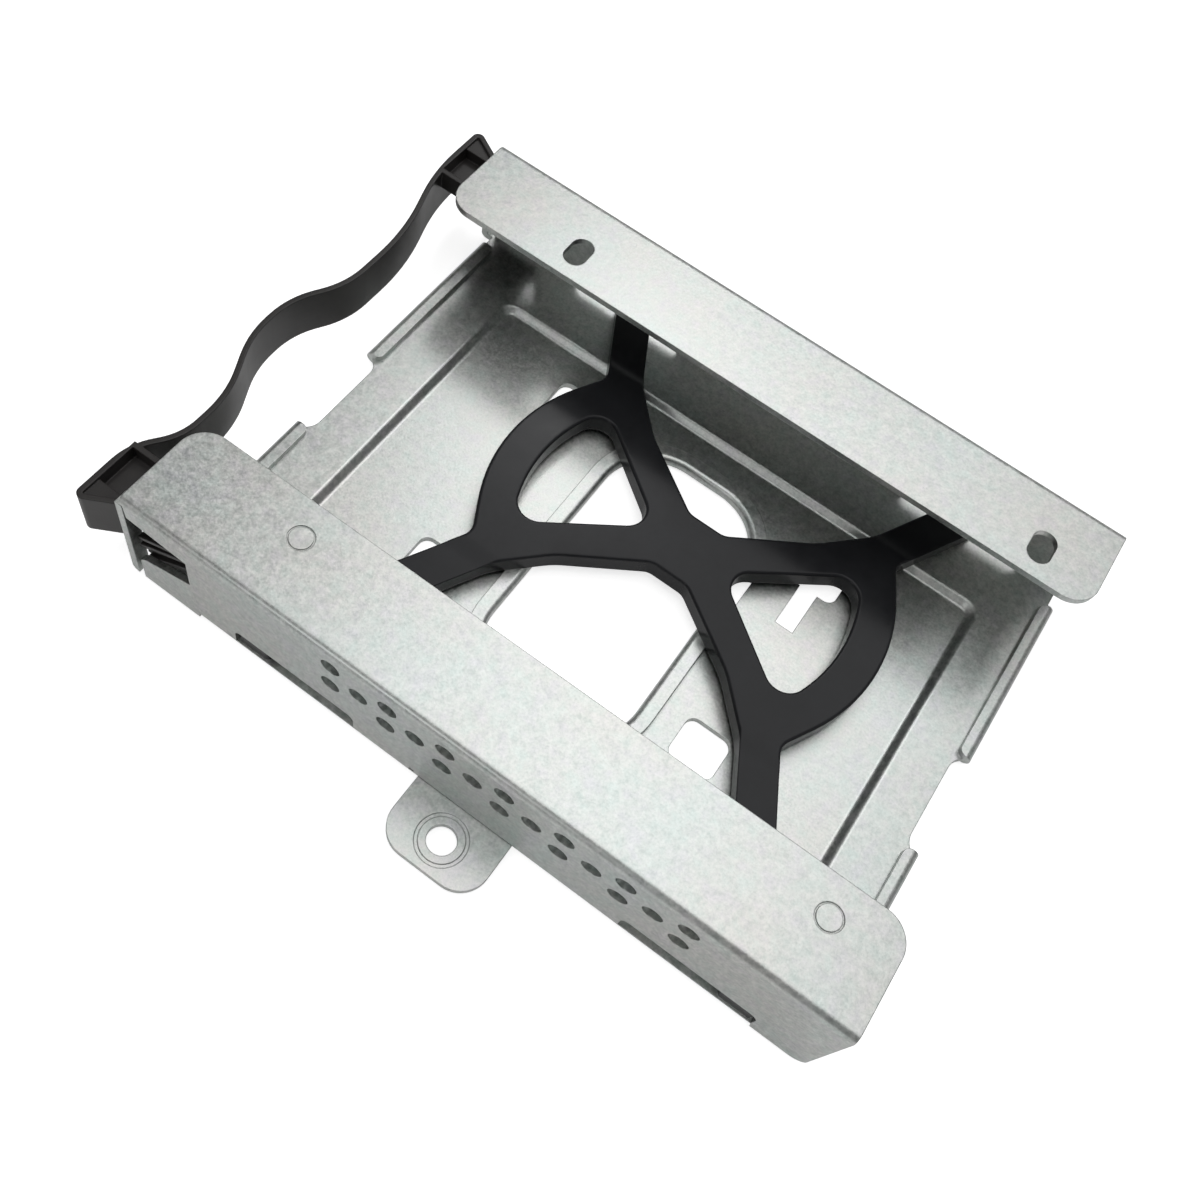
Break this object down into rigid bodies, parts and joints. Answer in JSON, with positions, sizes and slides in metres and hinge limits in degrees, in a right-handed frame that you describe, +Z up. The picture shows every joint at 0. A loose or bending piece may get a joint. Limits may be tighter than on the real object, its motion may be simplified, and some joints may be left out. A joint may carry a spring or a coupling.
{
  "type": "hard drive mounting bracket",
  "caption": "Folded sheet steel drive tray with inturned flanges, a screw ear, an X shaped moulded damper on its floor and a wavy snap-in plastic pull handle.",
  "frame": {"origin": "centre of the screw ear's hole, at the ear's underside, which is level with the underside of the floor's rim", "axes": "+X along the tray, away from the handle; +Y across the tray, away from the screw ear; +Z up, from the floor to the flanges"},
  "size_m": [0.1137, 0.0943, 0.0196],
  "materials": {
    "galvanised_steel": "semi-gloss zinc coating with fine mottled spangle",
    "damper_rubber": "satin charcoal moulding",
    "handle_plastic": "satin brownish black moulding"
  },
  "bodies": {
    "root": {"tray": "galvanised_steel", "damper": "damper_rubber", "handle": "handle_plastic"}
  },
  "joints": []
}
